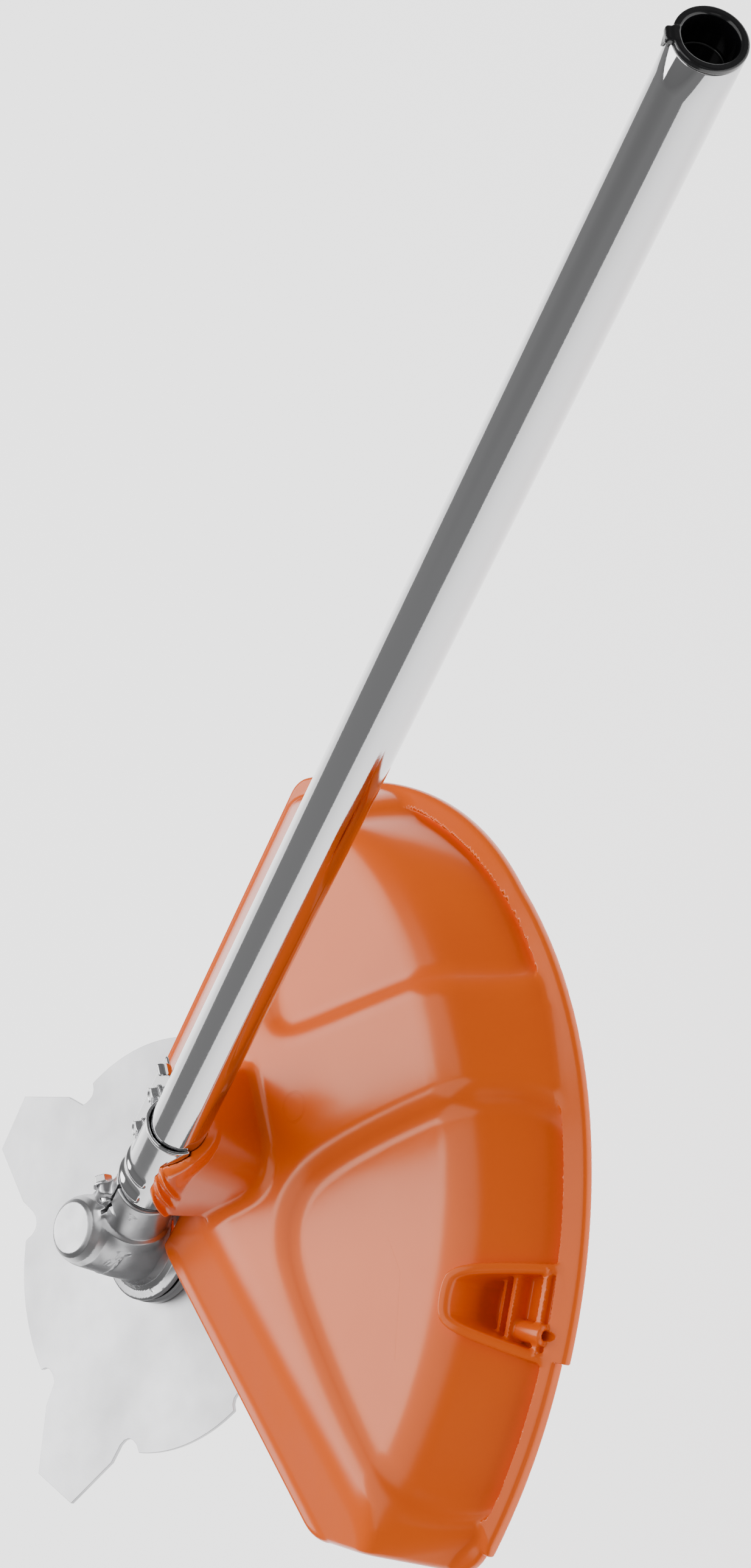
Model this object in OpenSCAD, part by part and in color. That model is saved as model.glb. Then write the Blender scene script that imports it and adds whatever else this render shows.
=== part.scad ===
// Brush cutter attachment: straight tube, angle gear head, four-tooth blade and blade guard.
// Millimetres. The origin is the centre of the spindle's free lower end, +Z runs up the blade
// axis towards the gear head, and the tube rises towards +X in the XZ plane.

/* [Tube] */
// Outer diameter of the tube
tube_d = 25.4; // [24:0.1:26]
// Wall thickness of the tube
tube_wall = 1.5; // [1.2:0.1:2]
// Distance along the tube axis from the blade axis to the face of the end cap
tube_reach = 908; // [500:1:1500]
// Angle of the tube above the blade plane
tube_angle = 29.15; // [25:0.05:32]
// Length of the clear land that the power head's coupler grips
land_length = 60; // [40:1:80]

/* [Gear head] */
// Height of the point where tube axis and blade axis meet, above the top face of the blade
apex_height = 23.1; // [22:0.1:24]
// Radius of the flange above the blade
flange_r = 28; // [27:0.5:30]
// Radius of the machined disc on the nose
nose_r = 11.5; // [10:0.5:12]
// Outer radius of the cast neck around the tube
neck_r = 15; // [15:0.1:15.5]
// Teeth of the gear on the spindle
gear_teeth = 19; // [19:1:19]
// Teeth of the pinion on the drive shaft
pinion_teeth = 14; // [14:1:14]

/* [Blade] */
// Diameter over the tips of the teeth
blade_d = 255; // [230:1:255]
// Radius of the round body between the teeth
blade_body_r = 95.2; // [85:0.1:100]
// Thickness of the blade
blade_t = 1.8; // [1.4:0.1:2]
// Direction of the first tooth tip
blade_turn = 135.6; // [0:0.1:180]

/* [Guard] */
// Height of the guard's flat top above the top face of the blade
guard_height = 40; // [40:0.5:42]
// Outer radius of the flat top
guard_top_r = 226; // [220:1:230]
// Outer radius of the rim
guard_rim_r = 269; // [265:1:272]
// Thickness of the guard's shell
guard_t = 2.5; // [2:0.1:3]
// Depth of the sunken panels
panel_depth = 5; // [3:0.5:5]

/* [Hidden] */
$fn = 96;
eps = 0.01;

// Stack on the spindle, from its free end up to the top face of the blade
thread_free = 8.5;
nut_h = 8.2;
washer_h = 3.5;
blade_top = thread_free + nut_h + washer_h + blade_t;
thread_r = 5;
blade_bore_r = 12.7;
disc_h = 5.2;
disc_r = 27.4;
apex_z = blade_top + apex_height;

tube_r = tube_d / 2;
tube_inner_r = tube_r - tube_wall;
cap_flange = 3;
tube_start = 40;
tube_end = tube_reach - cap_flange;
socket_r = tube_r + 0.05;
drive_r = 4;
running_gap = 0.05;

// Bevel pair: both cones share the apex where the axes meet
shaft_angle = 90 - tube_angle;
gear_cone = atan2(sin(shaft_angle), pinion_teeth / gear_teeth + cos(shaft_angle));
pinion_cone = shaft_angle - gear_cone;
gear_pitch_r = 13;
cone_length = gear_pitch_r / sin(gear_cone);
face_width = 8;
face_scale = (cone_length - face_width) / cone_length;
tooth_rise = 1.2;
tooth_root = 1.5;
module_mm = 2 * gear_pitch_r / gear_teeth;

// Clamp that holds the guard on the tube, measured along the tube
clamp_start = 60;
clamp_end = 118;
strap_t = 1.5;
strap_r = tube_r + 0.05 + strap_t;
ear_low = 1;
bolt_y = 20;
bolt_places = [72.5, 106];
bolt_r = 2.5;

// Directions of the guard's two straight edges and their distances from the blade axis
near_dir = 18.5;
near_border = 58.2;
near_lip = 15.4;
far_dir = -53.1;
far_border = 5.3;
far_lip = -26.8;
lip_drop = 20;
lip_height = 8;
rim_h = 5;
foot_r = 262;
boss_turn = -32.7;
boss_z = 8;
boss_face_r = 261.5;
knife_hole_r = 2.1;
knife_hole_depth = 15.5;

// Moves a child from the blade axis frame onto the tube: its +Z runs up the tube and its -X
// is the upper side of the tube
module on_tube(along = 0) {
    translate([0, 0, apex_z])
        rotate([0, shaft_angle, 0])
            translate([0, 0, along])
                children();
}

module ring(r_out, r_in, h) {
    difference() {
        cylinder(r = r_out, h = h);
        translate([0, 0, -eps])
            cylinder(r = r_in, h = h + 2 * eps);
    }
}

module ball_circle(pitch_r, ball_r, count) {
    for (i = [0 : count - 1])
        rotate([0, 0, 360 * i / count])
            translate([pitch_r, 0, 0])
                sphere(r = ball_r, $fn = 24);
}

module hex(across_flats, h) {
    cylinder(r = across_flats / sqrt(3), h = h, $fn = 6);
}

// Flat outline of a bevel gear at its large end
function gear_outline(teeth, pitch_r, rise, root) = [
    for (i = [0 : teeth - 1])
        let (step = 360 / teeth, half_root = 0.30 * step, half_tip = 0.13 * step)
            for (p = [[-half_root, pitch_r - root], [-half_tip, pitch_r + rise],
                [half_tip, pitch_r + rise], [half_root, pitch_r - root]])
                [p[1] * cos(i * step + p[0]), p[1] * sin(i * step + p[0])]];

// Bevel gear with its apex at the origin and its large end furthest up +Z
module bevel_gear(teeth, cone, turn) {
    pitch_r = cone_length * sin(cone);
    height = cone_length * cos(cone);
    translate([0, 0, height])
        mirror([0, 0, 1])
            rotate([0, 0, turn])
                linear_extrude(height = height * (1 - face_scale), scale = face_scale)
                    polygon(gear_outline(teeth, pitch_r, tooth_rise / cos(cone),
                        tooth_root / cos(cone)));
}

// ---- Tube, cap and drive line ----

module shaft_tube() {
    mark_w = 1.2;
    mark_depth = 0.25;
    color("gainsboro")
        on_tube()
            difference() {
                translate([0, 0, tube_start])
                    ring(tube_r, tube_inner_r, tube_end - tube_start);
                translate([0, 0, tube_end - land_length - mark_w])
                    ring(tube_r + 1, tube_r - mark_depth, mark_w);
            }
}

module end_cap() {
    plug_h = 17;
    plug_r = tube_inner_r - 0.1;
    recess_r = 9.3;
    recess_h = 15;
    flange_r_out = tube_r + 0.25;
    nub_r = tube_r + 2.3;
    nub_w = 6;
    tongue_h = 4.5;
    color([0.06, 0.06, 0.07])
        on_tube(tube_end)
            difference() {
                union() {
                    cylinder(r = flange_r_out, h = cap_flange);
                    translate([0, 0, -plug_h])
                        cylinder(r = plug_r, h = plug_h + eps);
                    rotate([0, 0, 170])
                        intersection() {
                            cylinder(r = nub_r, h = cap_flange);
                            translate([0, -nub_w / 2, 0])
                                cube([nub_r, nub_w, cap_flange]);
                        }
                    rotate([0, 0, 170])
                        translate([tube_r + 0.75, 0, 0])
                            rotate([0, 90, 0])
                                linear_extrude(height = 1.3)
                                    polygon([[-cap_flange / 2, -2.2], [tongue_h, 0],
                                        [-cap_flange / 2, 2.2]]);
                }
                translate([0, 0, cap_flange - recess_h])
                    cylinder(r = recess_r, h = recess_h + eps);
            }
}

square_end = 5;
drive_start = 37;
drive_top = tube_end - 21;
square_h = 9;

module drive_shaft() {
    color("silver")
        on_tube()
            union() {
                translate([0, 0, drive_start + square_h])
                    cylinder(r = drive_r, h = drive_top - drive_start - 2 * square_h);
                translate([-square_end / 2, -square_end / 2, drive_start])
                    cube([square_end, square_end, drive_top - drive_start]);
            }
}

module shaft_bushes() {
    bush_h = 14;
    color("ivory")
        on_tube()
            for (place = [150 : 225 : 825])
                translate([0, 0, place])
                    ring(tube_inner_r - 0.02, drive_r + running_gap, bush_h);
}

// ---- Gear housing ----

bearing_bore_r = 12;
input_bearing_at = 25;
input_bearing_h = 6;
circlip_h = 1.2;
tail_r = 6;
upper_bearing_z = blade_top + 43.2;
lower_bearing_z = blade_top + 9;
bearing_h = 8;
spindle_top = upper_bearing_z + bearing_h + 0.8;
upper_ring_r = 13;
lower_ring_r = 14;
ear_gap = 1.6;
ear_from = 33;
ear_to = 47;
neck_screw_at = 40;
neck_screw_out = 16.2;
ear_side = 8;
screw_seat_r = 5.4;

module housing_body() {
    translate([0, 0, blade_top])
        rotate_extrude()
            polygon([[0, 6.5], [flange_r - 1, 6.5], [flange_r, 7.2], [flange_r, 8.6],
                [flange_r - 1, 9.4], [20.5, 13.6], [19.2, 16], [18.4, 24], [17.4, 34],
                [16.6, 42], [16.2, 47.5], [15.2, 51], [13.4, 54], [nose_r, 55.4], [0, 55.4]]);
    on_tube()
        rotate_extrude()
            polygon([[0, 0], [15.5, 0], [16.5, 12], [16.5, 26], [15.6, 28.5], [neck_r, 31],
                [neck_r, 56.5], [neck_r - 0.8, 57.5], [0, 57.5]]);
}

module neck_ears() {
    ear_h = 21;
    ear_back = 4.5;
    on_tube(ear_from)
        translate([-ear_h, -ear_back, 0])
            cube([ear_h, ear_back + ear_side, ear_to - ear_from]);
}

module nose_rib() {
    rib_t = 3;
    on_tube()
        rotate([90, 0, 0])
            translate([0, 0, -rib_t / 2])
                linear_extrude(height = rib_t)
                    polygon([[-14, 12], [-14, 40], [-17.5, 36], [-20.5, 26], [-20, 16]]);
}

module housing_cavity() {
    wall_z = blade_top + 6.5;
    gear_room_r = 15;
    // Seat of the lower bearing, its circlip groove and the seal
    translate([0, 0, wall_z - eps])
        cylinder(r = lower_ring_r, h = lower_bearing_z + bearing_h - wall_z + eps);
    // Room for the gear
    translate([0, 0, lower_bearing_z + bearing_h - eps])
        cylinder(r = 12, h = 8);
    translate([0, 0, blade_top + 24])
        cylinder(r = gear_room_r, h = upper_bearing_z - blade_top - 24);
    // Seat of the upper bearing
    translate([0, 0, upper_bearing_z - eps])
        cylinder(r = upper_ring_r, h = bearing_h + 0.2);
    translate([0, 0, upper_bearing_z])
        cylinder(r = 8.5, h = bearing_h + 2.2);
    // Pinion room, input bearing seat and tube socket
    on_tube() {
        translate([0, 0, 8])
            cylinder(r = 11.7, h = input_bearing_at - 8 + eps);
        translate([0, 0, input_bearing_at])
            cylinder(r = bearing_bore_r, h = tube_start - 2 - input_bearing_at);
        translate([0, 0, tube_start - 2 - eps])
            cylinder(r = socket_r, h = 30);
    }
}

module gear_housing() {
    color([0.72, 0.72, 0.73])
        difference() {
            union() {
                housing_body();
                neck_ears();
                nose_rib();
            }
            housing_cavity();
            // Slit between the ears
            on_tube(ear_from - 3)
                translate([-30, -ear_gap / 2, 0])
                    cube([30, ear_gap, 40]);
            // Hole of the clamping screw, with a flat seat for its head
            on_tube(neck_screw_at)
                translate([-neck_screw_out, 0, 0])
                    rotate([-90, 0, 0]) {
                        translate([0, 0, -20])
                            cylinder(r = bolt_r, h = 40);
                        translate([0, 0, ear_side])
                            cylinder(r = screw_seat_r, h = 12);
                    }
            // Grease hole on the far side
            translate([0, 10, blade_top + 31])
                rotate([-90, 0, 0])
                    cylinder(r = 3, h = 20);
            // Groove of the input circlip
            on_tube(input_bearing_at + input_bearing_h)
                cylinder(r = bearing_bore_r + 0.7, h = circlip_h);
        }
}

module neck_screw() {
    color("silver")
        on_tube(neck_screw_at)
            translate([-neck_screw_out, 0, 0])
                rotate([-90, 0, 0])
                    union() {
                        translate([0, 0, -4.5])
                            cylinder(r = bolt_r, h = 12.5 + eps);
                        translate([0, 0, ear_side])
                            cylinder(r = 4.6, h = 1);
                        translate([0, 0, ear_side + 1])
                            hex(8, 3.6);
                    }
}

module grease_plug() {
    color("silver")
        translate([0, 0, blade_top + 31])
            rotate([-90, 0, 0])
                union() {
                    translate([0, 0, 15.4])
                        cylinder(r = 3, h = 3.2);
                    translate([0, 0, 18.1])
                        hex(9, 3);
                }
}

// ---- Gears, bearings and spindle ----

module input_pinion() {
    pinion_back = cone_length * cos(pinion_cone);
    socket = square_end + 0.2;
    color("dimgray")
        on_tube()
            difference() {
                union() {
                    bevel_gear(pinion_teeth, pinion_cone, 180 + 180 / pinion_teeth);
                    translate([0, 0, pinion_back - eps])
                        cylinder(r = 7.4, h = input_bearing_at - pinion_back);
                    translate([0, 0, pinion_back - eps])
                        cylinder(r = tail_r, h = 46 - pinion_back);
                }
                translate([-socket / 2, -socket / 2, drive_start - 1])
                    cube([socket, socket, 20]);
            }
}

module input_bearing_outer() {
    color("silver")
        on_tube(input_bearing_at)
            ring(bearing_bore_r, 10.4, input_bearing_h);
}

module input_bearing_inner() {
    color("silver")
        on_tube(input_bearing_at)
            ring(7.6, tail_r, input_bearing_h);
}

module input_bearing_balls() {
    color("white")
        on_tube(input_bearing_at + input_bearing_h / 2)
            ball_circle(9, 1.35, 10);
}

module clip(r_out, r_in) {
    difference() {
        ring(r_out, r_in, circlip_h - 0.1);
        translate([0, -2, -1])
            cube([r_out + 1, 4, 4]);
    }
}

module input_circlip() {
    color("gray")
        on_tube(input_bearing_at + input_bearing_h)
            clip(bearing_bore_r + 0.6, 10.6);
}

module output_gear() {
    gear_top = cone_length * cos(gear_cone);
    color("dimgray")
        difference() {
            union() {
                translate([0, 0, apex_z])
                    bevel_gear(gear_teeth, gear_cone, 0);
                translate([0, 0, apex_z + gear_top - eps])
                    cylinder(r = 8.5, h = 1);
            }
            translate([0, 0, apex_z])
                cylinder(r = thread_r, h = 40);
        }
}

module output_spindle() {
    groove_w = 1.2;
    color("silver")
        difference() {
            union() {
                cylinder(r = thread_r, h = spindle_top);
                translate([0, 0, lower_bearing_z])
                    cylinder(r = 6, h = 12);
            }
            translate([0, 0, thread_free])
                ring(thread_r + 1, thread_r - 0.3, groove_w);
        }
}

module gear_spacer() {
    spacer_z = apex_z + cone_length * cos(gear_cone) + 1;
    color("silver")
        translate([0, 0, spacer_z])
            ring(7, thread_r, upper_bearing_z - spacer_z);
}

module upper_bearing_outer() {
    color("silver")
        translate([0, 0, upper_bearing_z])
            ring(upper_ring_r, 10.8, bearing_h);
}

module upper_bearing_inner() {
    color("silver")
        translate([0, 0, upper_bearing_z])
            ring(7.2, thread_r, bearing_h);
}

module upper_bearing_balls() {
    color("white")
        translate([0, 0, upper_bearing_z + bearing_h / 2])
            ball_circle(9, 1.75, 8);
}

module lower_bearing_outer() {
    color("silver")
        translate([0, 0, lower_bearing_z])
            ring(lower_ring_r, 11.8, bearing_h);
}

module lower_bearing_inner() {
    color("silver")
        translate([0, 0, lower_bearing_z])
            ring(8.2, 6, bearing_h);
}

module lower_bearing_balls() {
    color("white")
        translate([0, 0, lower_bearing_z + bearing_h / 2])
            ball_circle(10, 1.75, 9);
}

module lower_circlip() {
    color("gray")
        translate([0, 0, lower_bearing_z - circlip_h])
            clip(lower_ring_r, 12.2);
}

module spindle_seal() {
    color([0.1, 0.1, 0.1])
        translate([0, 0, blade_top + 6.5])
            ring(lower_ring_r, 9 + running_gap, 1.1);
}

// ---- Blade and its mounting ----

module drive_disc() {
    pilot_h = blade_t - 0.2;
    color("whitesmoke")
        difference() {
            union() {
                translate([0, 0, blade_top])
                    rotate_extrude()
                        polygon([[0, 0], [disc_r - 0.4, 0], [disc_r, 0.4], [disc_r, disc_h - 1],
                            [disc_r - 1, disc_h], [0, disc_h]]);
                translate([0, 0, blade_top - pilot_h])
                    cylinder(r = blade_bore_r - 0.05, h = pilot_h + eps);
                translate([0, 0, blade_top + disc_h - eps])
                    cylinder(r = 9, h = lower_bearing_z - blade_top - disc_h - 0.1);
            }
            cylinder(r = thread_r, h = 60);
        }
}

// One tooth of the blade, as points given by distance out along the tooth and across it
tooth = [[94.5, -38], [124.1, -27.7], [blade_d / 2, 0], [100.7, 16.6]];
gullet = [[91.3, 18.4], [87, 21.5], [86, 25], [89.6, 32]];
heel = [[81, -49], [79, -46], [79.7, -42], [83, -38]];

function arc_points(r, from, to, steps) = [
    for (i = [0 : steps]) let (a = from + (to - from) * i / steps) [r * cos(a), r * sin(a)]];

function turned(points, a) = [
    for (p = points) [p[0] * cos(a) - p[1] * sin(a), p[0] * sin(a) + p[1] * cos(a)]];

function blade_quarter() = concat(heel, tooth, gullet, arc_points(blade_body_r, 20.5, 58.6, 10));

module blade() {
    color([0.86, 0.86, 0.85])
        translate([0, 0, blade_top - blade_t])
            difference() {
                linear_extrude(height = blade_t)
                    polygon([for (k = [0 : 3]) for (p = turned(blade_quarter(),
                        blade_turn + 90 * k)) p]);
                translate([0, 0, -1])
                    cylinder(r = blade_bore_r, h = blade_t + 2);
            }
}

module support_washer() {
    color("silver")
        translate([0, 0, blade_top - blade_t - washer_h])
            difference() {
                rotate_extrude()
                    polygon([[0, 0], [11, 0], [22, 2.1], [22.5, 2.6], [22.5, washer_h],
                        [0, washer_h]]);
                translate([0, 0, -1])
                    cylinder(r = thread_r, h = washer_h + 2);
            }
}

module blade_nut() {
    flange_h = 1.8;
    color("silver")
        translate([0, 0, thread_free])
            difference() {
                union() {
                    hex(17, nut_h - flange_h + eps);
                    translate([0, 0, nut_h - flange_h])
                        cylinder(r = 10.8, h = flange_h);
                }
                translate([0, 0, -1])
                    cylinder(r = thread_r, h = nut_h + 2);
            }
}

// ---- Guard ----

// Points of a rounded outline corner
function corner(centre, r, from, to, steps) = [
    for (i = [0 : steps]) let (a = from + (to - from) * i / steps)
        [centre[0] + r * cos(a), centre[1] + r * sin(a)]];

module guard_outline() {
    polygon(concat(
        [[24, 6], [21.6, -4], [22.6, -18], [27.3, -33]],
        corner([94.9, -160.2], 23.8, 198.5, 247, 5),
        corner([143, -198], 17, 247, 306, 5),
        arc_points(guard_rim_r, -54, -12, 24),
        [for (a = [-10 : 2 : 12])
            let (r = guard_rim_r - 3.2 * pow((a + 12) / 17, 2)) [r * cos(a), r * sin(a)]],
        corner([124, 22.5], 136.6, 16, 71.7, 14),
        corner([163.1, 140.8], 12, 76, 126.9, 5),
        [[45, 67], [38, 54], [36, 30], [36, 12]]));
}

// On the far side the wall turns in about its own centre
side_x = 91.7;
side_foot_r = 170.3;
side_run = 18;

// Solid under the guard's top surface: t is how far it lies inside the outer skin, and sink is
// how far a sunken panel lies below it
module guard_dome(t, sink = 0) {
    slope = atan2(guard_height - rim_h, foot_r - guard_top_r);
    inset = t + sink;
    wall_shift = inset / sin(slope);
    fall = 1 / tan(slope);
    top = blade_top + guard_height - inset;
    low = blade_top + rim_h - t;
    side_slope = atan2(guard_height - rim_h, side_run);
    side_shift = inset / sin(side_slope);
    side_fall = 1 / tan(side_slope);
    intersection() {
        union() {
            translate([0, -500, -10])
                cube([500, 500, 200]);
            translate([side_x, 0, 0])
                rotate_extrude($fn = 180)
                    polygon([[0, blade_top - 20], [side_foot_r + 40, blade_top - 20],
                        [side_foot_r + 40, low],
                        [side_foot_r - side_shift + t * side_fall, low],
                        [side_foot_r - side_run - side_shift + inset * side_fall, top],
                        [0, top]]);
        }
        rotate_extrude($fn = 180)
            polygon([[0, blade_top - 20], [guard_rim_r + 2, blade_top - 20],
                [guard_rim_r + 2, low], [foot_r - wall_shift + t * fall, low],
                [guard_top_r - wall_shift + inset * fall, top], [0, top]]);
        band_space(near_dir, near_border, near_lip, inset);
        band_space(far_dir, far_border, far_lip, inset);
    }
}

// Everything below the plane of a sloping edge band
module band_space(turn, border, lip, t) {
    fall = atan2(lip_drop, border - lip);
    rotate([0, 0, turn])
        translate([border, 0, blade_top + guard_height])
            rotate([0, -fall, 0])
                translate([-500, -500, -400 - t])
                    cube([1000, 1000, 400]);
}

module near_panel(grow) {
    offset(r = grow)
        polygon(concat(
            [[112, -82], [111.5, -62], [116, -48], [126, -39], [144, -34], [217, -39.5],
                [246, -45]],
            arc_points(foot_r - 4, -12, -46, 12),
            [[171, -193], [158, -194], [147, -190], [141, -181], [126.5, -133]]));
}

module far_panel(grow) {
    offset(r = grow)
        polygon(concat(
            [[131, 62], [131, 46], [134, 38], [142, 33], [223, 19], [246, 13]],
            arc_points(foot_r - 4, 4, 8, 2),
            corner([124, 22.5], 127.6, 14, 44, 5),
            [[198, 119.5], [184, 116], [170, 104]]));
}

pocket_from = -34.4;
pocket_to = -27;
pocket_in = 229.5;
pocket_floor = 10;

module pocket_space(grow, floor_z) {
    rotate([0, 0, (pocket_from + pocket_to) / 2])
        translate([pocket_in - grow, -15 - grow, blade_top + floor_z])
            cube([252 - pocket_in + 2 * grow, 30 + 2 * grow, 60]);
}

module pocket_block() {
    rotate([0, 0, (pocket_from + pocket_to) / 2])
        translate([pocket_in - 3, -18, blade_top])
            cube([60, 36, 60]);
}

module guard_solid(t) {
    difference() {
        guard_dome(t);
        difference() {
            translate([0, 0, blade_top - 21])
                linear_extrude(height = 100)
                    union() {
                        near_panel(t);
                        far_panel(t);
                    }
            guard_dome(t, panel_depth);
            pocket_block();
        }
        pocket_space(t, pocket_floor - t);
    }
}

module guard_shell() {
    intersection() {
        difference() {
            guard_solid(0);
            guard_solid(guard_t);
        }
        translate([0, 0, blade_top])
            linear_extrude(height = 100)
                guard_outline();
    }
}

module guard_rim() {
    translate([0, 0, blade_top])
        linear_extrude(height = rim_h)
            intersection() {
                difference() {
                    guard_outline();
                    offset(delta = -4)
                        guard_outline();
                }
                polygon([[120, -165], [240, -330], [400, 0], [320, 268], [160, 134]]);
            }
}

module lip_wall(turn, distance, from, to) {
    rotate([0, 0, turn])
        translate([distance, from, blade_top + guard_height - lip_drop - lip_height])
            cube([guard_t, to - from, lip_height - 0.3]);
}

module guard_lips() {
    lip_wall(near_dir, near_lip, -181, -40);
    lip_wall(far_dir, far_lip, 76, 208);
}

module hub_block() {
    collar_r = 17.5;
    hull() {
        translate([38, -27, blade_top + guard_height - 3])
            cube([76, 54, 2.4]);
        on_tube(clamp_start)
            intersection() {
                cylinder(r = collar_r, h = clamp_end - clamp_start, $fn = 48);
                translate([-ear_low, -collar_r, 0])
                    cube([2 * collar_r, 2 * collar_r, 100]);
            }
        on_tube(clamp_start)
            translate([-ear_low, 10, 0])
                cube([8, 21, clamp_end - clamp_start]);
    }
    // Finger of the collar that wraps over the near side of the tube
    on_tube(clamp_start + 0.7)
        intersection() {
            ring(collar_r + 0.8, socket_r, 41);
            translate([-8.5, -collar_r - 1, 0])
                cube([12, collar_r, 41]);
        }
}

module guard_boss() {
    boss_l = knife_hole_depth + 3;
    rotate([0, 0, boss_turn])
        translate([boss_face_r - boss_l, 0, blade_top + boss_z])
            rotate([0, 90, 0])
                cylinder(r = 4.7, h = boss_l);
}

// Beyond this direction the rim's outer edge is low and thin
module rim_step() {
    rotate([0, 0, -62])
        translate([0, 0, blade_top + 1.5])
            rotate_extrude(angle = 27.6, $fn = 180)
                translate([guard_rim_r - 4.4, 0])
                    square([8, 10]);
}

module pocket_ribs() {
    rotate([0, 0, (pocket_from + pocket_to) / 2]) {
        translate([239.5, -15.5, blade_top + pocket_floor - 1])
            cube([1.4, 31, 7]);
        translate([243, -15.5, blade_top + pocket_floor - 1])
            cube([1.8, 31, 9.5]);
    }
}

module guard() {
    color([0.85, 0.36, 0.1])
        difference() {
            union() {
                guard_shell();
                guard_rim();
                guard_lips();
                hub_block();
                guard_boss();
                pocket_ribs();
            }
            // Tube seat, with room for the strap over its upper part
            on_tube(20)
                cylinder(r = socket_r, h = 200);
            on_tube(clamp_start - 1)
                intersection() {
                    cylinder(r = strap_r + 0.1, h = 100);
                    translate([-40, -20, 0])
                        cube([43.5, 40, 100]);
                }
            // Room around the gear head
            on_tube(0)
                cylinder(r = 18, h = clamp_start + 0.5);
            translate([0, 0, blade_top + 13])
                cylinder(r = 20.6, h = 40);
            translate([0, 0, blade_top - 10])
                cylinder(r = 29.5, h = 24.5);
            rim_step();
            // Hole for the screw of a line-cutting knife
            rotate([0, 0, boss_turn])
                translate([boss_face_r - knife_hole_depth, 0, blade_top + boss_z])
                    rotate([0, 90, 0])
                        cylinder(r = knife_hole_r, h = 30);
            // Clamp bolt holes and the slots that hold their nuts
            for (place = bolt_places)
                on_tube(place) {
                    translate([-5, bolt_y, 0])
                        rotate([0, 90, 0])
                            cylinder(r = bolt_r + 0.2, h = 24);
                    translate([5.9, bolt_y - 4.8, -4.1])
                        cube([4.3, 40, 8.2]);
                }
        }
}

module clamp_strap() {
    ear_t = strap_t;
    color("gainsboro")
        on_tube(clamp_start)
            difference() {
                union() {
                    intersection() {
                        ring(strap_r, socket_r, clamp_end - clamp_start);
                        translate([-40, -20, -1])
                            cube([42.5, 40, 100]);
                    }
                    translate([-ear_low - ear_t, 12.8, 0])
                        cube([ear_t, 17, clamp_end - clamp_start + 8]);
                    for (bead = [2, 12])
                        translate([0, 0, bead])
                            intersection() {
                                ring(strap_r + 1.3, socket_r, 6.5);
                                translate([-40, -20, -1])
                                    cube([30.5, 40, 10]);
                            }
                }
                // The strap stops short of the guard's seat on the far side
                translate([-ear_low, 0, -1])
                    cube([20, 20, 100]);
                for (place = bolt_places)
                    translate([-10, bolt_y, place - clamp_start])
                        rotate([0, 90, 0])
                            cylinder(r = bolt_r + 0.2, h = 20);
            }
}

// Fasteners on the clamp's bolt axes, with +Z pointing down through the ear
module on_bolt_axes() {
    for (place = bolt_places)
        on_tube(place)
            translate([-ear_low - strap_t, bolt_y, 0])
                rotate([0, 90, 0])
                    children();
}

bolt_washer_t = 1;

module clamp_bolts() {
    color("silver")
        on_bolt_axes() {
            translate([0, 0, -bolt_washer_t])
                cylinder(r = bolt_r, h = 14.5);
            translate([0, 0, -bolt_washer_t - 3.6])
                hex(8, 3.6);
        }
}

module clamp_washers() {
    color("silver")
        on_bolt_axes()
            translate([0, 0, -bolt_washer_t])
                ring(5, bolt_r, bolt_washer_t);
}

module clamp_nuts() {
    color("silver")
        on_bolt_axes()
            translate([0, 0, ear_low + strap_t + 6])
                difference() {
                    rotate([0, 0, 30])
                        hex(8, 4);
                    translate([0, 0, -1])
                        cylinder(r = bolt_r, h = 6);
                }
}

shaft_tube();
end_cap();
drive_shaft();
shaft_bushes();
gear_housing();
neck_screw();
grease_plug();
input_pinion();
input_bearing_outer();
input_bearing_inner();
input_bearing_balls();
input_circlip();
output_gear();
output_spindle();
gear_spacer();
upper_bearing_outer();
upper_bearing_inner();
upper_bearing_balls();
lower_bearing_outer();
lower_bearing_inner();
lower_bearing_balls();
lower_circlip();
spindle_seal();
drive_disc();
blade();
support_washer();
blade_nut();
guard();
clamp_strap();
clamp_bolts();
clamp_washers();
clamp_nuts();
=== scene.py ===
"""Brush cutter head: the looks of the tube, gear head, blade and guard, built round the CAD frame.

Fields are in millimetres. Their origin is the middle of the blade's top face, +Z runs up the
blade axis, and the tube rises towards +X. A field is below zero inside the material.
"""

import math

import bpy
import numpy as np
from mathutils import Matrix, Vector


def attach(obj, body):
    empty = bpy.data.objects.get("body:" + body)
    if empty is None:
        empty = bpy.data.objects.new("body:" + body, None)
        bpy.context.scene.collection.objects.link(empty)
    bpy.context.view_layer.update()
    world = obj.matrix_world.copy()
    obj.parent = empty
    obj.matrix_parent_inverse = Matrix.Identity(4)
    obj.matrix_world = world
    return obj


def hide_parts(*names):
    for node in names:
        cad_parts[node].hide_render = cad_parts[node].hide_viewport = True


bl_info = {
    "name": "Brush cutter head",
    "version": (1, 0, 0),
    "blender": (4, 5, 0),
    "location": "View3D > Sidebar > Brush cutter",
    "description": "Builds the tube, gear head, blade and guard of a brush cutter",
    "category": "Object",
}

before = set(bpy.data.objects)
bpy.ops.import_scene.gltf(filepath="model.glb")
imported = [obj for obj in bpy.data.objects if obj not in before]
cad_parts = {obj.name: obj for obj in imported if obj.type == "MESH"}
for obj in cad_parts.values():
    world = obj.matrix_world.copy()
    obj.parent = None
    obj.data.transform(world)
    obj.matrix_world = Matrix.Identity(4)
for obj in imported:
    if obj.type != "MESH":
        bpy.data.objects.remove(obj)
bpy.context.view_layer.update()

MM = 0.001
BLADE_TOP = 22.0
TUBE_ANGLE = math.radians(29.15)
TUBE_C, TUBE_S = math.cos(TUBE_ANGLE), math.sin(TUBE_ANGLE)
APEX = 23.1
TUBE_R = 12.7
TUBE_WALL = 1.5
TUBE_START = 40.0
TUBE_END = 905.0
CLAMP_START = 60.0
CLAMP_END = 118.0
BOLT_Y = 20.0
BOLT_PLACES = (72.5, 106.0)
SCREW_UP = 16.2


# ---- Fields ----

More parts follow.
